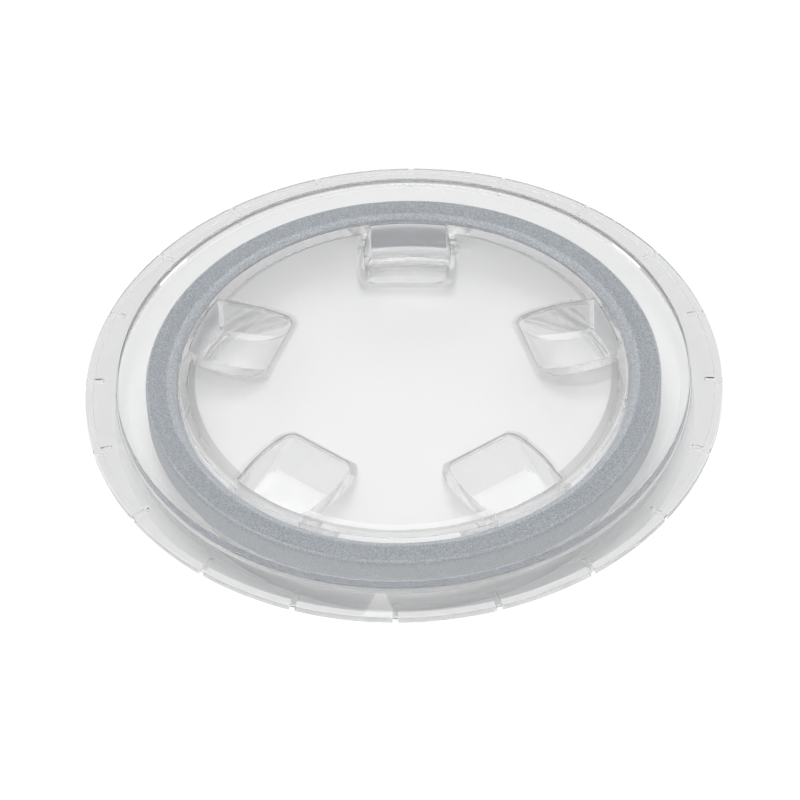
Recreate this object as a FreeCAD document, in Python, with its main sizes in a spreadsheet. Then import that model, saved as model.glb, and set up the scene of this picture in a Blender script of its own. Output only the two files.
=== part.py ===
import FreeCAD, Part
import math
import os

import Sketcher

# Round access hatch: a clear deck ring, a clear screw-in lid with five finger pockets, and a sponge
# rubber seal.
# Millimetres. The deck's surface is the plane z = 0, +Z points up out of the deck, and the axis of
# the lid is the Z axis. One finger pocket lies on +Y.

doc = FreeCAD.newDocument("access_hatch")

# Driving sizes. Heights are measured from the deck's surface. Radii grow outwards from the thread,
# by the width of what lies on it.
SIZES = {
    # screw thread: the lid's skirt in the deck ring's bore
    "skirt_radius": 58.1,
    "skirt_wall": 1.8,
    "skirt_length": 17.4,
    "thread_room": 1.1,
    # seal
    "seal_width": 8.2,
    "seal_depth": 8.2,
    "seal_corner_round": 0.9,
    "seal_shoulder_round": 3.0,
    "seal_clear": 0.3,
    "seal_room": 5.1,
    # deck ring
    "collar_wall": 2.4,
    "ledge_thick": 2.4,
    "bore_wall": 2.4,
    "bore_end_gap": 1.0,
    "band_width": 8.4,
    "band_top_height": 3.1,
    "rim_edge_height": 2.0,
    "rim_edge_round": 0.4,
    "rim_foot_width": 2.1,
    "hollow_height": 1.0,
    # slots under the rim that let spare sealant out
    "slot_count": 20,
    "slot_width": 1.4,
    "slot_height": 1.5,
    "slot_length": 5.0,
    # lid
    "plate_thick": 2.4,
    "plate_edge_round": 0.4,
    "plate_gap": 0.3,
    "recess_margin": 0.5,
    "recess_bevel": 3.8,
    "recess_depth": 1.0,
    "recess_round": 1.2,
    "floor_thick": 2.4,
    # finger pockets
    "pocket_count": 5,
    "pocket_length": 22.5,
    "pocket_inner_half": 9.8,
    "pocket_outer_half": 10.1,
    "pocket_side_radius": 41.0,
    "pocket_corner": 3.0,
    "pocket_depth": 12.2,
    "pocket_ramp_radius": 16.0,
    "pocket_bottom_round": 1.6,
    "pocket_wall": 2.1,
}

sheet = doc.addObject("Spreadsheet::Sheet", "sizes")
for row, (name, value) in enumerate(SIZES.items(), start=1):
    sheet.set(f"A{row}", name)
    sheet.set(f"B{row}", str(value))
    sheet.setAlias(f"B{row}", name)
doc.recompute()


# Two points or sizes closer than this are the same one
TOUCH = 0.001


class Size:
    """A size as its formula over the sheet's cells, with the value that the formula has now."""

    def __init__(self, formula, value):
        self.formula = formula
        self.value = value

    def joined(self, sign, other, value):
        return Size(f"({self.formula} {sign} {other.formula})", value)

    def __add__(self, other):
        other = as_size(other)
        return self.joined("+", other, self.value + other.value)

    def __sub__(self, other):
        other = as_size(other)
        return self.joined("-", other, self.value - other.value)

    def __mul__(self, other):
        other = as_size(other)
        return self.joined("*", other, self.value * other.value)

    def __truediv__(self, other):
        other = as_size(other)
        return self.joined("/", other, self.value / other.value)

    def __neg__(self):
        return as_size(0) - self


def as_size(number):
    return number if isinstance(number, Size) else Size(str(number), number)


def size(name):
    return Size(f"sizes.{name}", float(sheet.get(name)))


# Heights and radii that several pieces share, worked out once from the sizes above. The collar's
# outside is in line with the plate's edge, so collar and plate share one radius.
plate_bottom = size("band_top_height") + size("plate_gap")
plate_top = plate_bottom + size("plate_thick")
floor_top = plate_top - size("recess_depth")
floor_bottom = floor_top - size("floor_thick")
skirt_bottom = plate_bottom - size("skirt_length")
skirt_inner = size("skirt_radius") - size("skirt_wall")
seal_inner = size("skirt_radius") + size("seal_clear")
seal_outer = seal_inner + size("seal_width")
seal_bottom = plate_bottom - size("seal_depth")
collar_inner = seal_outer + size("seal_room")
plate_radius = collar_inner + size("collar_wall")
rim_radius = plate_radius + size("band_width")
hollow_outer = rim_radius - size("rim_foot_width")
recess_radius = size("skirt_radius") - size("recess_margin")
floor_radius = recess_radius - size("recess_bevel")
pocket_inner = skirt_inner - size("pocket_length")
ledge_top = seal_bottom - size("seal_clear")
ledge_bottom = ledge_top - size("ledge_thick")
bore_radius = size("skirt_radius") + size("thread_room")
bore_bottom = skirt_bottom - size("bore_end_gap")


def bind(target, path, length):
    target.setExpression(path, length.formula)


def origin_plane(body, role):
    return next(item for item in body.Origin.OriginFeatures if item.Role == role)


def new_body(label):
    body = doc.addObject("PartDesign::Body", label)
    body.Label = label
    return body


def new_sketch(body, name, role):
    sketch = body.newObject("Sketcher::SketchObject", name)
    sketch.AttachmentSupport = (origin_plane(body, role), "")
    sketch.MapMode = "FlatFace"
    return sketch


def hold_point(sketch, line, end, x, y):
    """Holds one end of a line or arc at (x, y) from the sketch's origin."""
    for kind, length, axis in (("DistanceX", x, -2), ("DistanceY", y, -1)):
        if length.value == 0:
            sketch.addConstraint(Sketcher.Constraint("PointOnObject", line, end, axis))
            continue
        index = sketch.addConstraint(Sketcher.Constraint(kind, -1, 1, line, end, length.value))
        bind(sketch, f"Constraints[{index}]", length)


def hold_radius(sketch, arc, radius):
    index = sketch.addConstraint(Sketcher.Constraint("Radius", arc, radius.value))
    bind(sketch, f"Constraints[{index}]", radius)


def vector(x, y):
    return FreeCAD.Vector(x, y, 0)


def draw_outline(sketch, corners):
    """A closed outline of straight lines through the corners, in order."""
    corners = [(as_size(x), as_size(y)) for x, y in corners]
    count = len(corners)
    for number, (x, y) in enumerate(corners):
        next_x, next_y = corners[(number + 1) % count]
        start = vector(x.value, y.value)
        sketch.addGeometry(Part.LineSegment(start, vector(next_x.value, next_y.value)))
    for number in range(count):
        sketch.addConstraint(Sketcher.Constraint("Coincident", number, 2, (number + 1) % count, 1))
    for number, (x, y) in enumerate(corners):
        hold_point(sketch, number, 1, x, y)


def turn(body, name, sketch):
    """Spins a half section about the lid's axis."""
    turned = body.newObject("PartDesign::Revolution", name)
    turned.Profile = sketch
    turned.ReferenceAxis = (sketch, ["V_Axis"])
    turned.Angle = 360
    return turned


def ring_edges(shape, radius, height):
    """Names of the circular edges about the axis at this radius and height."""
    names = []
    for number, edge in enumerate(shape.Edges, start=1):
        round_edge = isinstance(edge.Curve, Part.Circle)
        if not round_edge:
            continue
        same_radius = math.isclose(edge.Curve.Radius, radius, abs_tol=TOUCH)
        if same_radius and math.isclose(edge.Curve.Center.z, height, abs_tol=TOUCH):
            names.append(f"Edge{number}")
    return names


def round_edges(body, name, base, edges, radius):
    fillet = body.newObject("PartDesign::Fillet", name)
    fillet.Base = (base, edges)
    fillet.Radius = radius.value
    bind(fillet, "Radius", radius)
    return fillet


def draw_slot(body):
    """Outline of one slot along +X: open past the rim, with a round inner end."""
    slot = new_sketch(body, "slot_outline", "XY_Plane")
    half = size("slot_width") / 2
    inner = rim_radius - size("slot_length") + half
    outer = rim_radius + size("slot_width")
    corners = [(inner, -half), (outer, -half), (outer, half), (inner, half)]
    points = [vector(x.value, y.value) for x, y in corners]
    for start, end in zip(points, points[1:]):
        slot.addGeometry(Part.LineSegment(start, end))
    round_end = Part.Circle(vector(inner.value, 0), FreeCAD.Vector(0, 0, 1), half.value)
    slot.addGeometry(Part.ArcOfCircle(round_end, math.pi / 2, 3 * math.pi / 2))
    for number, (x, y) in enumerate(corners):
        slot.addConstraint(Sketcher.Constraint("Coincident", number, 2, (number + 1) % 4, 1))
        hold_point(slot, number, 1, x, y)
    index = slot.addConstraint(Sketcher.Constraint("DistanceX", -1, 1, 3, 3, inner.value))
    bind(slot, f"Constraints[{index}]", inner)
    return slot


def make_deck_ring():
    """Sloped flange, collar through the deck, ledge for the seal, and the bore that takes the thread."""
    body = new_body("deck_ring")
    section = new_sketch(body, "ring_section", "XZ_Plane")
    bore_outer = bore_radius + size("bore_wall")
    draw_outline(section, [
        (hollow_outer, 0),
        (rim_radius, 0),
        (rim_radius, size("rim_edge_height")),
        (plate_radius, size("band_top_height")),
        (collar_inner, size("band_top_height")),
        (collar_inner, ledge_top),
        (bore_radius, ledge_top),
        (bore_radius, bore_bottom),
        (bore_outer, bore_bottom),
        (bore_outer, ledge_bottom),
        (plate_radius, ledge_bottom),
        (plate_radius, size("hollow_height")),
        (hollow_outer, size("hollow_height")),
    ])
    turned = turn(body, "ring_turned", section)
    doc.recompute()
    rim = ring_edges(turned.Shape, rim_radius.value, size("rim_edge_height").value)
    round_edges(body, "rim_round", turned, rim, size("rim_edge_round"))

    slot_sketch = draw_slot(body)
    slot = body.newObject("PartDesign::Pocket", "slot")
    slot.Profile = slot_sketch
    slot.Length = size("slot_height").value
    bind(slot, "Length", size("slot_height"))
    slot.Reversed = True
    doc.recompute()
    slots = body.newObject("PartDesign::PolarPattern", "slots")
    slots.Originals = [slot]
    slots.Axis = (slot_sketch, ["N_Axis"])
    slots.Angle = 360
    slots.Occurrences = int(size("slot_count").value)
    bind(slots, "Occurrences", size("slot_count"))
    body.Tip = slots
    doc.recompute()
    return body


def make_lid_disc():
    """Plate, shallow recess and skirt of the lid, as one turned shape."""
    body = new_body("lid_disc")
    section = new_sketch(body, "lid_section", "XZ_Plane")
    draw_outline(section, [
        (0, floor_top),
        (floor_radius, floor_top),
        (recess_radius, plate_top),
        (plate_radius, plate_top),
        (plate_radius, plate_bottom),
        (size("skirt_radius"), plate_bottom),
        (size("skirt_radius"), skirt_bottom),
        (skirt_inner, skirt_bottom),
        (skirt_inner, floor_bottom),
        (0, floor_bottom),
    ])
    turned = turn(body, "lid_turned", section)
    doc.recompute()
    plate_edge = ring_edges(turned.Shape, plate_radius.value, plate_top.value)
    rounded = round_edges(body, "plate_round", turned, plate_edge, size("plate_edge_round"))
    doc.recompute()
    recess_edge = ring_edges(rounded.Shape, recess_radius.value, plate_top.value)
    recess_edge += ring_edges(rounded.Shape, floor_radius.value, floor_top.value)
    rounded = round_edges(body, "recess_round_edge", rounded, recess_edge, size("recess_round"))
    body.Tip = rounded
    doc.recompute()
    return body


def upright_edges(shape, near_x):
    """Names of the upright edges at this distance from the axis along X."""
    names = []
    for number, edge in enumerate(shape.Edges, start=1):
        ends = [vertex.Point for vertex in edge.Vertexes]
        if len(ends) != 2:
            continue
        upright = math.hypot(ends[0].x - ends[1].x, ends[0].y - ends[1].y) < TOUCH
        if upright and math.isclose(ends[0].x, near_x, abs_tol=TOUCH):
            names.append(f"Edge{number}")
    return names


def lower_edges(shape, start_x, height_limit):
    """Names of the edges round the bottom of a scoop, below a height and past its inner wall."""
    names = []
    for number, edge in enumerate(shape.Edges, start=1):
        if edge.BoundBox.ZMax < height_limit and edge.BoundBox.XMax > start_x:
            names.append(f"Edge{number}")
    return names


def make_scoop(label, wall, outer_radius, top):
    """A finger pocket's form on the +X side, grown outwards by a wall. Its inner face slopes in an arc."""
    body = new_body(label)
    inner = pocket_inner - wall
    half_inner = size("pocket_inner_half") + wall
    half_outer = size("pocket_outer_half") + wall
    side_radius = size("pocket_side_radius") + wall
    ramp_radius = size("pocket_ramp_radius") + wall
    bottom = floor_top - size("pocket_depth") - wall
    below = bottom - size("pocket_wall")

    plan = new_sketch(body, f"{label}_plan", "XY_Plane")
    bind(plan, ".AttachmentOffset.Base.z", below)
    outer_x = math.sqrt(outer_radius.value**2 - half_outer.value**2)
    inner_x, inner_y, outer_y = inner.value, half_inner.value, half_outer.value
    plan.addGeometry(Part.LineSegment(vector(inner_x, inner_y), vector(inner_x, -inner_y)))
    mid_x = (inner_x + outer_x) / 2
    bulge = side_radius.value - math.sqrt(side_radius.value**2 - ((outer_x - inner_x) / 2) ** 2)
    mid_y = (inner_y + outer_y) / 2 + bulge
    plan.addGeometry(Part.Arc(vector(inner_x, -inner_y), vector(mid_x, -mid_y), vector(outer_x, -outer_y)))
    plan.addGeometry(
        Part.Arc(vector(outer_x, -outer_y), vector(outer_radius.value, 0), vector(outer_x, outer_y))
    )
    plan.addGeometry(Part.Arc(vector(outer_x, outer_y), vector(mid_x, mid_y), vector(inner_x, inner_y)))
    # every arc runs anticlockwise from its end 1 to its end 2
    plan.addConstraint(Sketcher.Constraint("Coincident", 0, 2, 1, 1))
    plan.addConstraint(Sketcher.Constraint("Coincident", 1, 2, 2, 1))
    plan.addConstraint(Sketcher.Constraint("Coincident", 2, 2, 3, 1))
    plan.addConstraint(Sketcher.Constraint("Coincident", 3, 2, 0, 1))
    hold_point(plan, 0, 1, inner, half_inner)
    hold_point(plan, 0, 2, inner, -half_inner)
    plan.addConstraint(Sketcher.Constraint("Coincident", 2, 3, -1, 1))
    hold_radius(plan, 2, outer_radius)
    for arc, end, reach in ((2, 1, -half_outer), (2, 2, half_outer)):
        index = plan.addConstraint(Sketcher.Constraint("DistanceY", -1, 1, arc, end, reach.value))
        bind(plan, f"Constraints[{index}]", reach)
    hold_radius(plan, 1, side_radius)
    hold_radius(plan, 3, side_radius)

    block = body.newObject("PartDesign::Pad", f"{label}_block")
    block.Profile = plan
    block.Length = (top - below).value
    bind(block, "Length", top - below)
    doc.recompute()
    corners = upright_edges(block.Shape, inner_x)
    block = round_edges(body, f"{label}_corners", block, corners, size("pocket_corner") + wall)
    doc.recompute()

    ramp = new_sketch(body, f"{label}_ramp", "XZ_Plane")
    past = outer_radius + size("pocket_wall")
    before = inner - size("pocket_wall")
    under = below - size("pocket_wall")
    run = math.sqrt(ramp_radius.value**2 - (ramp_radius.value - (floor_top - bottom).value) ** 2)
    centre = vector(inner_x + run, bottom.value + ramp_radius.value)
    start_angle = math.atan2(floor_top.value - centre.y, inner_x - centre.x)
    ramp_circle = Part.Circle(centre, FreeCAD.Vector(0, 0, 1), ramp_radius.value)
    ramp.addGeometry(Part.ArcOfCircle(ramp_circle, start_angle % (2 * math.pi), 3 * math.pi / 2))
    corners = [
        (as_size(0), bottom),
        (past, bottom),
        (past, under),
        (before, under),
        (before, floor_top),
        (inner, floor_top),
    ]
    points = [vector(x.value, y.value) for x, y in corners]
    points[0] = vector(centre.x, bottom.value)
    for start, end in zip(points, points[1:]):
        ramp.addGeometry(Part.LineSegment(start, end))
    for number in range(1, 5):
        ramp.addConstraint(Sketcher.Constraint("Coincident", number, 2, number + 1, 1))
    ramp.addConstraint(Sketcher.Constraint("Coincident", 5, 2, 0, 1))
    ramp.addConstraint(Sketcher.Constraint("Tangent", 0, 2, 1, 1))
    hold_radius(ramp, 0, ramp_radius)
    for line, (x, y) in enumerate(corners[1:], start=1):
        hold_point(ramp, line, 2, x, y)
    index = ramp.addConstraint(Sketcher.Constraint("DistanceY", -1, 1, 1, 1, bottom.value))
    bind(ramp, f"Constraints[{index}]", bottom)
    cut = body.newObject("PartDesign::Pocket", f"{label}_cut")
    cut.Profile = ramp
    cut.Length = (size("pocket_side_radius") * 2).value
    bind(cut, "Length", size("pocket_side_radius") * 2)
    cut.Midplane = True
    doc.recompute()
    edges = lower_edges(cut.Shape, inner_x + size("pocket_corner").value, floor_top.value - TOUCH)
    rounded = round_edges(body, f"{label}_bottom_round", cut, edges, size("pocket_bottom_round"))
    body.Tip = rounded
    doc.recompute()
    return body


def turned_copies(label, source, count):
    """Copies of a scoop, evenly spaced about the axis, the first one on +Y."""
    copies = []
    for number in range(count):
        copy = doc.addObject("Part::Feature", f"{label}_{number + 1}")
        copy.Shape = source.Shape
        angle = 90 + 360 * number / count
        copy.Placement = FreeCAD.Placement(vector(0, 0), FreeCAD.Rotation(FreeCAD.Vector(0, 0, 1), angle))
        copies.append(copy)
    return copies


def make_lid():
    """The lid: the disc with a shell below it for each pocket, and the pockets cut out."""
    disc = make_lid_disc()
    nothing = as_size(0)
    in_skirt = size("skirt_radius") - size("skirt_wall") / 2
    above = plate_top + size("plate_thick")
    shell = make_scoop("pocket_shell", size("pocket_wall"), in_skirt, floor_top)
    hollow = make_scoop("pocket_hollow", nothing, skirt_inner, above)
    count = int(size("pocket_count").value)
    with_shells = doc.addObject("Part::MultiFuse", "lid_with_shells")
    with_shells.Shapes = [disc] + turned_copies("shell", shell, count)
    hollows = doc.addObject("Part::MultiFuse", "pocket_hollows")
    hollows.Shapes = turned_copies("hollow", hollow, count)
    lid = doc.addObject("Part::Cut", "lid")
    lid.Base = with_shells
    lid.Tool = hollows
    doc.recompute()
    return lid


def make_seal():
    """Sponge rubber seal round the skirt, flat against the plate. Its inner shoulder is well rounded."""
    body = new_body("seal_ring")
    section = new_sketch(body, "seal_section", "XZ_Plane")
    draw_outline(section, [
        (seal_inner, seal_bottom),
        (seal_outer, seal_bottom),
        (seal_outer, plate_bottom),
        (seal_inner, plate_bottom),
    ])
    turned = turn(body, "seal_turned", section)
    doc.recompute()
    shoulder = ring_edges(turned.Shape, seal_inner.value, plate_bottom.value)
    rounded = round_edges(body, "seal_shoulder", turned, shoulder, size("seal_shoulder_round"))
    doc.recompute()
    corners = ring_edges(rounded.Shape, seal_outer.value, plate_bottom.value)
    corners += ring_edges(rounded.Shape, seal_outer.value, seal_bottom.value)
    corners += ring_edges(rounded.Shape, seal_inner.value, seal_bottom.value)
    rounded = round_edges(body, "seal_corners", rounded, corners, size("seal_corner_round"))
    body.Tip = rounded
    doc.recompute()
    return body


pieces = [make_deck_ring(), make_lid(), make_seal()]
doc.recompute()

for item in doc.Objects:
    if "Invalid" in item.State or "Error" in item.State:
        raise RuntimeError(f"{item.Name} failed: {item.State}")
for piece in pieces:
    if piece.Shape.isNull() or not piece.Shape.isValid():
        raise RuntimeError(f"{piece.Label} is not a valid solid")

os.makedirs("parts", exist_ok=True)
for piece in pieces:
    box = piece.Shape.BoundBox
    print(piece.Label, "solids", len(piece.Shape.Solids), "volume cm3", round(piece.Shape.Volume / 1000, 2),
          "z", round(box.ZMin, 2), round(box.ZMax, 2), "x", round(box.XMin, 2), round(box.XMax, 2))
    piece.Shape.exportStep(f"parts/{piece.Label}.step")
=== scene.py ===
import math

import bmesh
import bpy
from mathutils import Matrix, Vector


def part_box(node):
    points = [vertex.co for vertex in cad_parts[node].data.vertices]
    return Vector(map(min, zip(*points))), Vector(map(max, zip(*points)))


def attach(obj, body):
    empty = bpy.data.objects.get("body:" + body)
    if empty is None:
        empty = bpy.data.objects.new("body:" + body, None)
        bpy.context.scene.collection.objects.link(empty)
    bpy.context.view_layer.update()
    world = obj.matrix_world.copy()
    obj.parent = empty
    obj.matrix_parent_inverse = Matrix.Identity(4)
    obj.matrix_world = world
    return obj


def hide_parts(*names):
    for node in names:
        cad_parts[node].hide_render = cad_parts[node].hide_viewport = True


# A round screw-in access hatch in clear polycarbonate, with a grey sponge rubber seal under the lid's
# plate. Sizes are millimetres, heights are measured from the deck's surface at z = 0, and the lid
# turns about the Z axis. One finger pocket lies on +Y.

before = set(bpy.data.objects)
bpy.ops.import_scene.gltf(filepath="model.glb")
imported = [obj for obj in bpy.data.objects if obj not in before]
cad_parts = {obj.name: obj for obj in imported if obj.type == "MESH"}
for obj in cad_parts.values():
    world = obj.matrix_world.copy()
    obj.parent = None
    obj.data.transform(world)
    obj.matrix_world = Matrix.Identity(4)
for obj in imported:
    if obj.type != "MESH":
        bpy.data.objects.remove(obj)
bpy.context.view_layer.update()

MM = 0.001


# Sizes that the frame gives

def in_mm(node):
    """Lowest and highest corner of a CAD node, in millimetres."""
    low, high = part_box(node)
    return low / MM, high / MM


ring_low, ring_high = in_mm("deck_ring")
lid_low, lid_high = in_mm("lid")
seal_low, seal_high = in_mm("seal_ring")

rim_radius = ring_high.x
band_top = ring_high.z
bore_bottom = ring_low.z
plate_radius = lid_high.x
plate_top = lid_high.z
skirt_bottom = lid_low.z
plate_bottom = seal_high.z
seal_bottom = seal_low.z
seal_outer = seal_high.x

# Sizes of the deck ring
collar_wall = 2.4
ledge_thick = 2.4
bore_wall = 2.4
rim_edge_height = 2.0
rim_foot_width = 2.1
rim_edge_room = 0.35
hollow_height = 1.0
thread_room = 1.1
# Width of the painted gap shadow at the joint between the lid's plate and the ring's top
painted_joint_shadow_width = 0.45
slot_count = 20
slot_width = 1.4
slot_height = 1.5
slot_length = 5.0

# Sizes of the lid
recess_depth = 1.0
recess_margin = 0.5
recess_bevel = 3.8
shoulder_round = 14.0
floor_thick = 2.4
skirt_wall = 1.8
pocket_count = 5
pocket_length = 22.5
pocket_inner_half = 9.8
pocket_outer_half = 10.1
pocket_side_radius = 41.0
pocket_corner = 3.0
pocket_depth = 12.2
pocket_ramp_radius = 16.0
pocket_bottom_round = 1.6
pocket_wall = 2.1
pocket_lip = 0.3
clear_rise = 3.0
back_wall_room = 0.3

# Sizes of the seal. Its top is pressed a hair into the plate, which it wets, so that the plate's
# edge shows its grey
seal_width = 8.2
seal_corner = 0.9
seal_shoulder = 3.0
seal_clear = 0.3
seal_bite = 0.03
# Painted light on the seal's sides: below the plate's underside their tone turns paler, from the smaller
# depth to the larger
painted_light_full_depth = 2.2
painted_light_start_depth = 0.3

# Sizes of the screw thread: a ridge on the skirt and one in the bore, half a pitch apart
thread_pitch = 4.0
thread_depth = 0.85
thread_foot = 1.8
thread_crest = 0.8
thread_end_gap = 0.3
lid_thread_turns = 1.5
ring_thread_turns = 1.8
ring_thread_angle = 90
thread_sunk = 0.3
thread_fade = 0.04

# Sizes worked out from those above
seal_inner = seal_outer - seal_width
skirt_radius = seal_inner - seal_clear
skirt_inner = skirt_radius - skirt_wall
bore_radius = skirt_radius + thread_room
bore_outer = bore_radius + bore_wall
collar_inner = plate_radius - collar_wall
ledge_top = seal_bottom - seal_clear
ledge_bottom = ledge_top - ledge_thick
foot_inner = rim_radius - rim_foot_width
floor_top = plate_top - recess_depth
floor_bottom = floor_top - floor_thick
recess_radius = skirt_radius - recess_margin
floor_radius = recess_radius - recess_bevel
pocket_inner = skirt_inner - pocket_length
thread_lift = thread_end_gap + thread_foot / 2

# Steps round a full turn, a corner, a pocket's plan and a pocket's lip
RING_STEPS = 256
ARC_STEPS = 6
SIDE_STEPS = 16
END_STEPS = 8
LIP_STEPS = 4

# A lip's arc stops short of upright, and ends a hair above the plate so that it cuts through
LIP_ANGLE = 75
LIP_OVER = 1.06

# Points closer than this are one, and a face counts as at a size when its middle is this near
SAME_POINT = 0.0004
FACE_ROOM = 0.1

# Finishes of a clear piece's faces: how rough each is, its tone, which below 1 is painted shade, and the
# share of the light that it lets straight through
FINISHES = {
    # A tone below 1 is painted shade. It is slight on matt faces, shells and pocket sides. The lip gets a
    # painted dark line, the bevel and the band get painted grey shade, the joint gets a painted gap
    # shadow, and the bore gets painted shade.
    "polished": (0.015, 1.0, 0.0),
    "matt": (0.3, 0.94, 0.4),
    "skirt": (0.3, 1.0, 0.8),
    "lip": (0.1, 0.4, 0.0),
    "pocket side": (0.02, 0.88, 0.15),
    "pocket back": (0.3, 1.0, 0.2),
    "pocket bottom": (0.015, 1.0, 0.5),
    "shell": (0.15, 0.93, 0.5),
    "bevel": (0.05, 0.66, 0.0),
    "band": (0.015, 0.74, 0.0),
    "painted joint shadow": (0.3, 0.3, 0.0),
    "bore": (0.5, 0.85, 0.3),
    "frosted": (0.5, 1.0, 0.94),
}
FINISH_NAMES = list(FINISHES)
FACE_VALUES = ("roughness", "painted_shade_tone", "straight")

# How strongly the floor glows, seen by the camera and seen in or through the plastic
GLOW_SEEN = 0.4
GLOW_THROUGH = 0.19


# Outlines

def arc_points(centre, radius, start, end, steps):
    """Points on an arc about a centre, both ends included. Angles in radians."""
    points = []
    for step in range(steps + 1):
        angle = start + (end - start) * step / steps
        points.append((centre[0] + radius * math.cos(angle), centre[1] + radius * math.sin(angle)))
    return points


def rounded(corners, closed):
    """A half section with its corners rounded. A corner is (radius from the axis, height, round)."""
    points = []
    count = len(corners)
    for number, (x, y, round_size) in enumerate(corners):
        open_end = not closed and number in (0, count - 1)
        if open_end or round_size == 0:
            points.append((x, y))
            continue
        here = Vector((x, y))
        before = (Vector(corners[number - 1][:2]) - here).normalized()
        after = (Vector(corners[(number + 1) % count][:2]) - here).normalized()
        half_angle = before.angle(after) / 2
        centre = here + (before + after).normalized() * (round_size / math.sin(half_angle))
        reach = round_size / math.tan(half_angle)
        first = here + before * reach - centre
        last = here + after * reach - centre
        start = math.atan2(first.y, first.x)
        sweep = (math.atan2(last.y, last.x) - start + math.pi) % (2 * math.pi) - math.pi
        points += arc_points(centre, round_size, start, start + sweep, ARC_STEPS)
    return points


# Mesh helpers

def new_piece(name, mesh_data):
    piece = bpy.data.objects.new(name, mesh_data)
    bpy.context.scene.collection.objects.link(piece)
    return piece


def piece_from(name, mesh):
    """Turns a bmesh in millimetres into a piece in metres."""
    bmesh.ops.scale(mesh, vec=(MM, MM, MM), verts=mesh.verts)
    mesh_data = bpy.data.meshes.new(name)
    mesh.to_mesh(mesh_data)
    mesh.free()
    return new_piece(name, mesh_data)


def turned(points, closed):
    """A half section, spun about the lid's axis."""
    mesh = bmesh.new()
    corners = [mesh.verts.new((x, 0, z)) for x, z in points]
    pairs = list(zip(corners, corners[1:]))
    if closed:
        pairs.append((corners[-1], corners[0]))
    edges = [mesh.edges.new(pair) for pair in pairs]
    bmesh.ops.spin(
        mesh, geom=corners + edges, cent=(0, 0, 0), axis=(0, 0, 1), dvec=(0, 0, 0),
        angle=2 * math.pi, steps=RING_STEPS, use_merge=True, use_duplicate=False,
    )
    bmesh.ops.remove_doubles(mesh, verts=mesh.verts, dist=SAME_POINT)
    bmesh.ops.recalc_face_normals(mesh, faces=mesh.faces)
    return mesh


def repeat_round(mesh, count, first_angle):
    """Copies a form about the lid's axis, the first one turned by an angle in degrees."""
    bmesh.ops.rotate(
        mesh, cent=(0, 0, 0), matrix=Matrix.Rotation(math.radians(first_angle), 3, "Z"), verts=mesh.verts
    )
    form = list(mesh.verts) + list(mesh.edges) + list(mesh.faces)
    for number in range(1, count):
        copy = bmesh.ops.duplicate(mesh, geom=form)
        verts = [item for item in copy["geom"] if isinstance(item, bmesh.types.BMVert)]
        turn = Matrix.Rotation(2 * math.pi * number / count, 3, "Z")
        bmesh.ops.rotate(mesh, cent=(0, 0, 0), matrix=turn, verts=verts)


def combine(piece, tool, operation):
    """Joins a tool to a piece, or cuts it out, and removes the tool."""
    modifier = piece.modifiers.new(operation.lower(), "BOOLEAN")
    modifier.operation = operation
    modifier.solver = "EXACT"
    modifier.object = tool
    finished = evaluated_mesh(piece)
    piece.modifiers.clear()
    piece.data = finished
    bpy.data.objects.remove(tool)


def evaluated_mesh(piece):
    graph = bpy.context.evaluated_depsgraph_get()
    return bpy.data.meshes.new_from_object(piece.evaluated_get(graph))


def smooth(piece, angle):
    """Smooth shading that keeps flat faces flat and edges sharper than an angle in degrees sharp."""
    piece.data.shade_smooth()
    piece.data.set_sharp_from_angle(angle=math.radians(angle))
    normals = piece.modifiers.new("flat faces", "WEIGHTED_NORMAL")
    normals.mode = "FACE_AREA"
    normals.weight = 100
    normals.keep_sharp = True


def mark_faces(piece, material, choose):
    """Puts each face of a clear piece in the slot of the finish that choose() picks by its place."""
    for _ in FINISH_NAMES:
        piece.data.materials.append(material)
    for face in piece.data.polygons:
        middle = face.center / MM
        face.material_index = FINISH_NAMES.index(choose(math.hypot(middle.x, middle.y), middle.z))
    return piece


def settle_finish(piece):
    """Keeps each face's finish as the attributes that the clear material reads, and leaves one slot."""
    faces = piece.data.polygons
    finishes = [FINISHES[FINISH_NAMES[face.material_index]] for face in faces]
    for number, name in enumerate(FACE_VALUES):
        values = piece.data.attributes.new(name, "FLOAT", "FACE")
        values.data.foreach_set("value", [finish[number] for finish in finishes])
    for face in faces:
        face.material_index = 0
    while len(piece.data.materials) > 1:
        piece.data.materials.pop(index=1)


# Finger pockets

def pocket_floor(x, wall):
    """Height of the underside of a pocket's form at a distance from the axis: an arc, then flat."""
    bottom = floor_top - pocket_depth - wall
    radius = pocket_ramp_radius + wall
    drop = floor_top - pocket_lip - bottom
    centre_x = pocket_inner - wall + math.sqrt(radius**2 - (radius - drop) ** 2)
    if x >= centre_x:
        return bottom
    return bottom + radius - math.sqrt(radius**2 - (centre_x - x) ** 2)


def plate_height(radius):
    """Height of the lid's upper surface, from the recess up its bevel to the plate."""
    share = (radius - floor_radius) / recess_bevel
    return floor_top + recess_depth * min(max(share, 0), 1)


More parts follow.
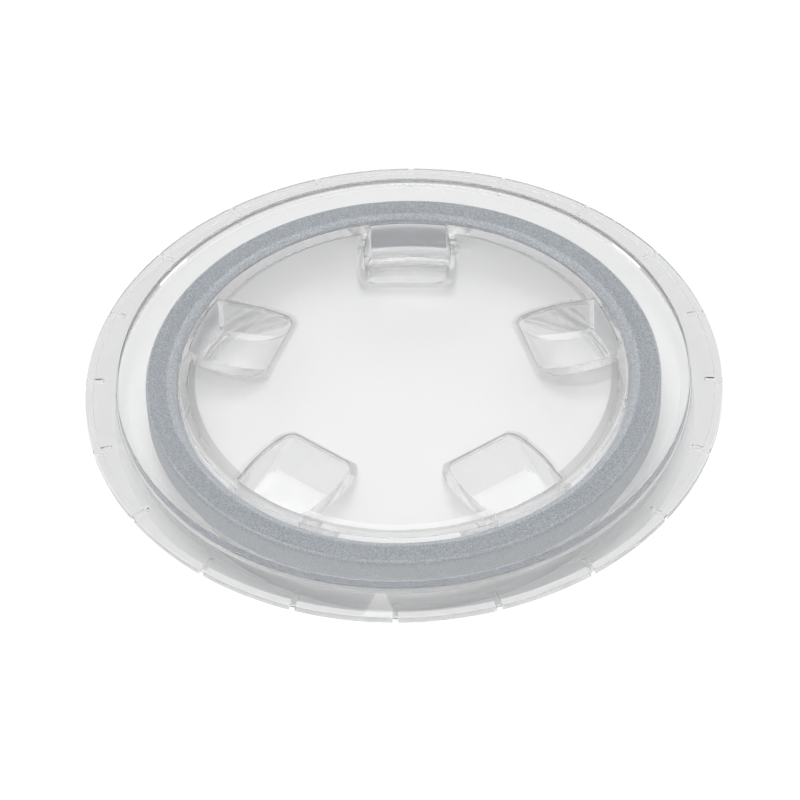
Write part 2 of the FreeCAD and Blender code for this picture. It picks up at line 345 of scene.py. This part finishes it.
def pocket_half_outline(wall, outer_radius, inset):
    """One half of a pocket's plan, from its middle at the skirt to the straight inner edge."""
    chord_start = Vector((pocket_inner, pocket_inner_half))
    chord_end = Vector((math.sqrt(skirt_inner**2 - pocket_outer_half**2), pocket_outer_half))
    chord = chord_end - chord_start
    middle = (chord_start + chord_end) / 2
    across = Vector((chord.y, -chord.x)).normalized()
    side_centre = middle + across * math.sqrt(pocket_side_radius**2 - (chord.length / 2) ** 2)
    side = pocket_side_radius + wall - inset
    outer = outer_radius - inset

    away = side_centre.length
    along = (outer**2 - side**2 + away**2) / (2 * away)
    off = math.sqrt(outer**2 - along**2)
    toward = side_centre.normalized()
    meeting = toward * along + Vector((-toward.y, toward.x)) * off

    corner_x = pocket_inner + pocket_corner
    reach = pocket_side_radius - pocket_corner
    corner_y = side_centre.y + math.sqrt(reach**2 - (corner_x - side_centre.x) ** 2)
    corner = Vector((corner_x, corner_y))
    corner_radius = pocket_corner + wall - inset
    leave = corner - side_centre
    leave_angle = math.atan2(leave.y, leave.x)
    meet = meeting - side_centre
    meet_angle = math.atan2(meet.y, meet.x)

    points = arc_points((0, 0), outer, 0, math.atan2(meeting.y, meeting.x), END_STEPS)
    points += arc_points(side_centre, side, meet_angle, leave_angle, SIDE_STEPS)[1:]
    points += arc_points(corner, corner_radius, leave_angle, math.pi, END_STEPS)[1:]
    return points


def pocket_form(wall, outer_radius, lip, top):
    """The solid form of one pocket on the +X side, grown by a wall. Its bottom edge is rounded."""
    outline = pocket_half_outline(wall, outer_radius, 0)
    fades = [min(max((x - pocket_inner + wall) / pocket_corner, 0), 1) for x, _ in outline]

    def row(inset_at, height_at):
        half = []
        for number, (plain, fade) in enumerate(zip(outline, fades)):
            inset = inset_at(fade)
            x, y = pocket_half_outline(wall, outer_radius, inset)[number]
            half.append(Vector((x, y, height_at(x, math.hypot(*plain), fade))))
        mirrored = [Vector((p.x, -p.y, p.z)) for p in reversed(half[1:])]
        return mirrored + half

    rows = [row(lambda fade: -lip, lambda x, radius, fade: top)]
    if lip > 0:
        for step in range(LIP_STEPS + 1):
            angle = math.radians(LIP_ANGLE - LIP_ANGLE * step / LIP_STEPS)
            rows.append(row(
                lambda fade: -lip * (1 - math.cos(angle)),
                lambda x, radius, fade: plate_height(radius) - lip + lip * math.sin(angle) * LIP_OVER,
            ))
    for step in range(ARC_STEPS + 1):
        angle = math.pi / 2 * step / ARC_STEPS
        rows.append(row(
            lambda fade: pocket_bottom_round * fade * (1 - math.cos(angle)),
            lambda x, radius, fade: (
                pocket_floor(x, wall) + pocket_bottom_round * fade * (1 - math.sin(angle))
            ),
        ))

    mesh = bmesh.new()
    loops = []
    for points in rows:
        verts = [mesh.verts.new(point) for point in points]
        edges = [mesh.edges.new((a, b)) for a, b in zip(verts, verts[1:] + verts[:1])]
        loops.append((verts, edges))
    for (upper, _), (lower, _) in zip(loops, loops[1:]):
        count = len(upper)
        for number in range(count):
            following = (number + 1) % count
            mesh.faces.new((upper[number], upper[following], lower[following], lower[number]))
    mesh.faces.new(loops[0][0])
    ladder(mesh, loops[-1][0])
    bmesh.ops.remove_doubles(mesh, verts=mesh.verts, dist=SAME_POINT)
    bmesh.ops.recalc_face_normals(mesh, faces=mesh.faces)
    return mesh


def ladder(mesh, loop):
    """Fills a loop that is symmetric across the X axis with strips that run across it."""
    count = len(loop)
    middle = count // 2
    mesh.faces.new((loop[middle - 1], loop[middle], loop[middle + 1]))
    for step in range(1, middle):
        mesh.faces.new((
            loop[middle - step - 1], loop[middle - step], loop[middle + step], loop[middle + step + 1]
        ))


# Screw thread

def thread_ridge(wall_radius, height, turns, start_z, start_angle):
    """A right-hand helical ridge on a cylinder. A height below zero points to the axis."""
    half_foot, half_crest = thread_foot / 2, thread_crest / 2
    sunk = wall_radius - math.copysign(thread_sunk, height)
    crest = wall_radius + height
    section = [(sunk, -half_foot), (wall_radius, -half_foot), (crest, -half_crest),
               (crest, half_crest), (wall_radius, half_foot), (sunk, half_foot)]
    mesh = bmesh.new()
    corners = [mesh.verts.new((x, 0, start_z + z)) for x, z in section]
    edges = [mesh.edges.new(pair) for pair in zip(corners, corners[1:] + corners[:1])]
    steps = round(RING_STEPS / 2 * turns)
    bmesh.ops.spin(
        mesh, geom=corners + edges, cent=(0, 0, 0), axis=(0, 0, 1),
        dvec=(0, 0, thread_pitch * turns / steps),
        angle=2 * math.pi * turns, steps=steps, use_merge=False, use_duplicate=False,
    )
    bmesh.ops.holes_fill(mesh, edges=mesh.edges, sides=len(section))
    for vert in mesh.verts:
        radius = math.hypot(vert.co.x, vert.co.y)
        done = (vert.co.z - start_z) / thread_pitch
        share = min(done, turns - done) / thread_fade
        if (radius - wall_radius) * height > 0 and share < 1:
            faded = wall_radius + (radius - wall_radius) * max(share, 0.05)
            vert.co.x *= faded / radius
            vert.co.y *= faded / radius
    turn = Matrix.Rotation(math.radians(start_angle), 3, "Z")
    bmesh.ops.rotate(mesh, cent=(0, 0, 0), matrix=turn, verts=mesh.verts)
    bmesh.ops.recalc_face_normals(mesh, faces=mesh.faces)
    return mesh


# Which finish each face of the clear pieces has

def lid_finish(radius, height):
    """The lid is matt on the side that faces into the boat, inside the skirt. Its bevel is greyed with
    painted shade, and its plate's lower edge carries a painted gap shadow at the joint.
    """
    if radius < skirt_radius - FACE_ROOM and height < floor_bottom + FACE_ROOM:
        under_floor = height > floor_bottom - FACE_ROOM and radius < skirt_inner
        return "matt" if under_floor else "skirt"
    if floor_radius < radius < recess_radius and height > floor_top:
        return "bevel"
    if radius > plate_radius - painted_joint_shadow_width and height < plate_bottom + painted_joint_shadow_width:
        return "painted joint shadow"
    return "polished"


def shell_finish(radius, height):
    """A pocket's shell is clearest under its bottom, and matt on its ramp and sides, where it is a little
    darkened with painted shade.
    """
    return "pocket bottom" if height < floor_top - pocket_depth - pocket_wall + clear_rise else "shell"


def hollow_finish(radius, height):
    """A pocket's hollow is clearest at its bottom, and matt where the skirt is its back wall. Its lip
    carries a painted dark line, and its sides a little painted shade.
    """
    if height > floor_top - pocket_lip:
        return "lip"
    if height < floor_top - pocket_depth + clear_rise:
        return "pocket bottom"
    return "pocket back" if radius > skirt_inner - back_wall_room else "pocket side"


def ring_finish(radius, height):
    """The ring is polished on its flange and rim, and frosted under its foot and from the collar in. The
    top of its flange and rim is darkened with painted shade, a painted gap shadow lies under the plate's
    edge, and the bore's frosting carries painted shade.
    """
    if plate_radius - painted_joint_shadow_width < radius < plate_radius and height > band_top - FACE_ROOM:
        return "painted joint shadow"
    on_flange = plate_radius + FACE_ROOM < radius < foot_inner - FACE_ROOM
    if on_flange or radius > rim_radius - rim_edge_room:
        return "band" if height > rim_edge_height else "polished"
    if radius > foot_inner and height > rim_edge_height:
        return "band"
    in_bore = radius < bore_outer + FACE_ROOM and height < ledge_bottom - FACE_ROOM
    return "bore" if in_bore else "frosted"


# Pieces

def make_lid(material):
    """Plate, recessed floor and skirt, with five pockets let into the floor."""
    section = rounded([
        (0, floor_top, 0),
        (floor_radius, floor_top, 1.2),
        (recess_radius, plate_top, shoulder_round),
        (plate_radius, plate_top, 0.4),
        (plate_radius, plate_bottom, 0.3),
        (skirt_radius, plate_bottom, 0.4),
        (skirt_radius, skirt_bottom, 0.3),
        (skirt_inner, skirt_bottom, 0.3),
        (skirt_inner, floor_bottom, 0.5),
        (0, floor_bottom, 0),
    ], closed=False)
    lid = mark_faces(piece_from("clear_lid", turned(section, closed=False)), material, lid_finish)

    shell = pocket_form(pocket_wall, skirt_radius - skirt_wall / 2, 0, floor_top - floor_thick / 2)
    repeat_round(shell, pocket_count, 90)
    combine(lid, mark_faces(piece_from("pocket_shells", shell), material, shell_finish), "UNION")

    hollow = pocket_form(0, skirt_inner, pocket_lip, plate_top + floor_thick)
    repeat_round(hollow, pocket_count, 90)
    hollows = mark_faces(piece_from("pocket_hollows", hollow), material, hollow_finish)
    combine(lid, hollows, "DIFFERENCE")

    thread = thread_ridge(skirt_radius, thread_depth, lid_thread_turns, skirt_bottom + thread_lift, 0)
    ridge = mark_faces(piece_from("lid_thread", thread), material, lambda *place: "skirt")
    combine(lid, ridge, "UNION")
    settle_finish(lid)
    smooth(lid, angle=32)
    return lid


def make_ring(material):
    """Sloped flange, collar, ledge and bore, with slots cut under the rim."""
    section = rounded([
        (foot_inner, 0, 0.2),
        (rim_radius, 0, 0.3),
        (rim_radius, rim_edge_height, 0.4),
        (plate_radius, band_top, 0.05),
        (plate_radius - painted_joint_shadow_width, band_top, 0),
        (collar_inner, band_top, 0.3),
        (collar_inner, ledge_top, 0.5),
        (bore_radius, ledge_top, 0.4),
        (bore_radius, bore_bottom, 0.3),
        (bore_outer, bore_bottom, 0.3),
        (bore_outer, ledge_bottom, 0.6),
        (plate_radius, ledge_bottom, 0.4),
        (plate_radius, hollow_height, 0.3),
        (foot_inner, hollow_height, 0.3),
    ], closed=True)
    ring = piece_from("clear_deck_ring", turned(section, closed=True))
    mark_faces(ring, material, ring_finish)
    thread = thread_ridge(
        bore_radius, -thread_depth, ring_thread_turns, bore_bottom + thread_lift, ring_thread_angle
    )
    ridge = mark_faces(piece_from("ring_thread", thread), material, lambda *place: "frosted")
    combine(ring, ridge, "UNION")

    slot = bmesh.new()
    half = slot_width / 2
    inner = rim_radius - slot_length + half
    outer = rim_radius + slot_width
    outline = arc_points((inner, 0), half, math.pi / 2, 3 * math.pi / 2, END_STEPS)
    outline += [(outer, -half), (outer, half)]
    base = slot.faces.new([slot.verts.new((x, y, -slot_height)) for x, y in outline])
    grown = bmesh.ops.extrude_face_region(slot, geom=[base])
    top = [item for item in grown["geom"] if isinstance(item, bmesh.types.BMVert)]
    bmesh.ops.translate(slot, vec=(0, 0, slot_height * 2), verts=top)
    bmesh.ops.recalc_face_normals(slot, faces=slot.faces)
    repeat_round(slot, slot_count, 0)
    slots = mark_faces(piece_from("slots", slot), material, lambda *place: "polished")
    combine(ring, slots, "DIFFERENCE")
    settle_finish(ring)
    smooth(ring, angle=32)
    return ring


def make_cord():
    """Sponge rubber cord of square section, round the skirt. Its inner shoulder is well rounded."""
    section = rounded([
        (seal_inner, seal_bottom, seal_corner),
        (seal_outer, seal_bottom, seal_corner),
        (seal_outer, plate_bottom + seal_bite, seal_corner),
        (seal_inner, plate_bottom + seal_bite, seal_shoulder),
    ], closed=True)
    cord = piece_from("sponge_cord", turned(section, closed=True))
    smooth(cord, angle=60)
    return cord


# Materials

def linear(hex_colour):
    """An sRGB hex colour as linear red, green, blue and alpha."""
    values = [int(hex_colour[start:start + 2], 16) / 255 for start in (1, 3, 5)]
    curve = [value / 12.92 if value <= 0.04045 else ((value + 0.055) / 1.055) ** 2.4 for value in values]
    return curve + [1]


def new_material(name):
    material = bpy.data.materials.new(name)
    material.use_nodes = True
    material.node_tree.nodes.clear()
    return material


def add_node(material, kind, settings=(), inputs=(), links=()):
    """Adds a node. Inputs are (socket, value), links are (socket, other node, its output)."""
    node = material.node_tree.nodes.new(kind)
    for name, value in dict(settings).items():
        setattr(node, name, value)
    for socket, value in inputs:
        node.inputs[socket].default_value = value
    for socket, other, output in links:
        material.node_tree.links.new(other.outputs[output], node.inputs[socket])
    return node


def clear_polycarbonate(name):
    """Polycarbonate, injection moulded: polished where the mould was, and matt where it was spark-eroded.

    It darkens along a long way through it, so that edges show.
    """
    material = new_material(name)
    roughness, painted_shade_tone, straight = (
        add_node(material, "ShaderNodeAttribute", {"attribute_name": name}) for name in FACE_VALUES
    )
    place = add_node(material, "ShaderNodeTexCoord")
    grain = add_node(
        material, "ShaderNodeTexNoise",
        inputs=[("Scale", 1 / (40 * MM)), ("Detail", 1.0)],
        links=[("Vector", place, "Object")],
    )
    bump = add_node(
        material, "ShaderNodeBump",
        inputs=[("Strength", 1.0), ("Distance", 0.002 * MM)],
        links=[("Height", grain, "Fac")],
    )
    # Each face's tone tints the plastic and its straight share. Below 1 it is painted shade, and it also
    # dims the light that shadow rays carry through.
    plastic = add_node(
        material, "ShaderNodeBsdfPrincipled",
        inputs=[("IOR", 1.585), ("Transmission Weight", 1.0)],
        links=[
            ("Base Color", painted_shade_tone, "Fac"), ("Roughness", roughness, "Fac"), ("Normal", bump, "Normal"),
        ],
    )
    through = add_node(material, "ShaderNodeBsdfTransparent", links=[("Color", painted_shade_tone, "Fac")])
    path = add_node(material, "ShaderNodeLightPath")
    clear = add_node(
        material, "ShaderNodeMath", {"operation": "MAXIMUM"},
        links=[(0, path, "Is Shadow Ray"), (1, straight, "Fac")],
    )
    surface = add_node(
        material, "ShaderNodeMixShader",
        links=[("Fac", clear, "Value"), (1, plastic, "BSDF"), (2, through, "BSDF")],
    )
    depth = add_node(
        material, "ShaderNodeVolumeAbsorption",
        inputs=[("Color", (0.0, 0.02, 0.04, 1)), ("Density", 6.0)],
    )
    add_node(
        material, "ShaderNodeOutputMaterial",
        links=[("Surface", surface, "Shader"), ("Volume", depth, "Volume")],
    )
    return material


def sponge_rubber():
    """Closed-cell sponge rubber cord, grey and matt, with open grain that sparkles finely.

    Its sides and its rounded shoulder are painted paler, painted light that lifts them out of shade, and
    only its top under the plate keeps the full grey.
    """
    material = new_material("grey_sponge_rubber")
    place = add_node(material, "ShaderNodeTexCoord")
    grain = add_node(
        material, "ShaderNodeTexNoise",
        inputs=[("Scale", 1 / (0.32 * MM)), ("Detail", 1.0)],
        links=[("Vector", place, "Object")],
    )
    tones = add_node(material, "ShaderNodeValToRGB", links=[("Fac", grain, "Fac")])
    tones.color_ramp.elements[0].position = 0.4
    tones.color_ramp.elements[0].color = linear("#A8AEB5")
    tones.color_ramp.elements[1].position = 0.6
    tones.color_ramp.elements[1].color = linear("#CED3D9")
    bump = add_node(
        material, "ShaderNodeBump",
        inputs=[("Strength", 0.35), ("Distance", 0.0003)],
        links=[("Height", grain, "Fac")],
    )
    parts = add_node(material, "ShaderNodeSeparateXYZ", links=[("Vector", place, "Object")])
    # Painted light: the tone turns paler with depth below the plate's underside, up to 40 % pale grey on
    # the sides and shoulder
    body = add_node(
        material, "ShaderNodeMapRange", {"interpolation_type": "SMOOTHSTEP"},
        inputs=[
            ("From Min", (plate_bottom - painted_light_full_depth) * MM),
            ("From Max", (plate_bottom - painted_light_start_depth) * MM),
            ("To Min", 0.6),
        ],
        links=[("Value", parts, "Z")],
    )
    colour = add_node(
        material, "ShaderNodeMix", {"data_type": "RGBA"},
        inputs=[(6, linear("#E4E6E8"))], links=[(0, body, "Result"), (7, tones, "Color")],
    )
    rubber = add_node(
        material, "ShaderNodeBsdfPrincipled",
        inputs=[("Roughness", 0.85), ("IOR", 1.45)],
        links=[("Base Color", colour, 2), ("Normal", bump, "Normal")],
    )
    add_node(material, "ShaderNodeOutputMaterial", links=[("Surface", rubber, "BSDF")])
    return material


def white_floor():
    """Matt white card. It also glows for rays that look at it, a little less through plastic."""
    material = new_material("white_card")
    card = add_node(material, "ShaderNodeBsdfDiffuse", inputs=[("Color", linear("#F2F2F2"))])
    path = add_node(material, "ShaderNodeLightPath")
    seen_through = add_node(
        material, "ShaderNodeMath", {"operation": "MAXIMUM"},
        links=[(0, path, "Is Glossy Ray"), (1, path, "Is Transmission Ray")],
    )
    dim = add_node(
        material, "ShaderNodeMath", {"operation": "MULTIPLY"},
        inputs=[(1, GLOW_THROUGH)], links=[(0, seen_through, "Value")],
    )
    glow_level = add_node(
        material, "ShaderNodeMath", {"operation": "MULTIPLY_ADD"},
        inputs=[(1, GLOW_SEEN)], links=[(0, path, "Is Camera Ray"), (2, dim, "Value")],
    )
    glow = add_node(
        material, "ShaderNodeEmission", inputs=[("Color", (1, 1, 1, 1))],
        links=[("Strength", glow_level, "Value")],
    )
    both = add_node(material, "ShaderNodeAddShader", links=[(0, card, "BSDF"), (1, glow, "Emission")])
    add_node(material, "ShaderNodeOutputMaterial", links=[("Surface", both, "Shader")])
    return material


# Setting. The floor's sizes are millimetres, and those of the lamps and the camera are metres

FLOOR_SIZE = 4000
FLOOR_GAP = 0.02
TENT_STRENGTH = 0.66


def make_floor():
    mesh = bmesh.new()
    bmesh.ops.create_grid(mesh, x_segments=1, y_segments=1, size=FLOOR_SIZE)
    bmesh.ops.translate(mesh, vec=(0, 0, bore_bottom - FLOOR_GAP), verts=mesh.verts)
    floor = piece_from("floor", mesh)
    floor.data.materials.append(white_floor())


def make_world():
    """White studio tent: light overhead, a little darker towards the horizon."""
    world = bpy.data.worlds.new("studio")
    bpy.context.scene.world = world
    world.use_nodes = True
    world.node_tree.nodes.clear()
    place = add_node(world, "ShaderNodeTexCoord")
    parts = add_node(world, "ShaderNodeSeparateXYZ", links=[("Vector", place, "Generated")])
    heights = add_node(world, "ShaderNodeValToRGB", links=[("Fac", parts, "Z")])
    heights.color_ramp.elements[0].position = 0.0
    heights.color_ramp.elements[0].color = (0.85, 0.85, 0.86, 1)
    heights.color_ramp.elements[1].position = 0.7
    heights.color_ramp.elements[1].color = (0.95, 0.95, 0.95, 1)
    light = add_node(
        world, "ShaderNodeBackground",
        inputs=[("Strength", TENT_STRENGTH)], links=[("Color", heights, "Color")],
    )
    white = add_node(world, "ShaderNodeBackground", inputs=[("Color", (1, 1, 1, 1)), ("Strength", 1.0)])
    path = add_node(world, "ShaderNodeLightPath")
    mixed = add_node(
        world, "ShaderNodeMixShader",
        links=[("Fac", path, "Is Camera Ray"), (1, light, "Background"), (2, white, "Background")],
    )
    add_node(world, "ShaderNodeOutputWorld", links=[("Surface", mixed, "Shader")])


def add_lamp(name, place, aim, size, power):
    light = bpy.data.lights.new(name, "AREA")
    light.shape = "RECTANGLE"
    light.size, light.size_y = size
    light.energy = power
    lamp = bpy.data.objects.new(name, light)
    lamp.location = place
    lamp.rotation_euler = (Vector(aim) - Vector(place)).to_track_quat("-Z", "Y").to_euler()
    bpy.context.scene.collection.objects.link(lamp)


# The photograph's camera: its distance, height above the horizon, turn and roll, and where the
# middle of the deck plane appears in an image of 800 x 800 pixels
IMAGE_SIZE = 800
SENSOR = 36.0
camera_distance = 1.0
camera_elevation = math.radians(44.74)
camera_turn = math.radians(3.01)
camera_roll = math.radians(-2.28)
focal_pixels = 3859
middle_column, middle_row = 403.6, 385.1


def make_camera():
    data = bpy.data.cameras.new("camera")
    data.sensor_width = SENSOR
    data.lens = focal_pixels * SENSOR / IMAGE_SIZE
    data.shift_x = -(middle_column - IMAGE_SIZE / 2) / IMAGE_SIZE
    data.shift_y = (middle_row - IMAGE_SIZE / 2) / IMAGE_SIZE
    data.clip_start = 0.05
    camera = bpy.data.objects.new("camera", data)
    back = Vector((
        math.sin(camera_turn) * math.cos(camera_elevation),
        -math.cos(camera_turn) * math.cos(camera_elevation),
        math.sin(camera_elevation),
    ))
    camera.location = back * camera_distance
    level = (-back).to_track_quat("-Z", "Y").to_matrix()
    camera.rotation_euler = (level @ Matrix.Rotation(camera_roll, 3, "Z")).to_euler()
    bpy.context.scene.collection.objects.link(camera)
    bpy.context.scene.camera = camera


make_camera()
make_floor()
make_world()
add_lamp("top_light", place=(-0.1, 0.1, 1.6), aim=(0, 0, 0), size=(0.9, 0.9), power=6.6)
add_lamp("back_light", place=(0, 1.3, 0.5), aim=(0, 0, 0), size=(1.1, 0.17), power=1.4)

plastic = clear_polycarbonate("clear_polycarbonate")
lid = make_lid(plastic)
ring = make_ring(plastic)
cord = make_cord()
cord.data.materials.append(sponge_rubber())

for piece, node, body, slot_name in (
    (lid, "lid", "lid", "clear_lid"),
    (ring, "deck_ring", "deck_ring", "clear_ring"),
    (cord, "seal_ring", "seal", "seal_cord"),
):
    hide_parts(node)
    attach(piece, body)

scene = bpy.context.scene
scene.view_settings.view_transform = "Standard"
scene.cycles.max_bounces = 32
scene.cycles.transmission_bounces = 32
scene.cycles.glossy_bounces = 16
scene.cycles.transparent_max_bounces = 32
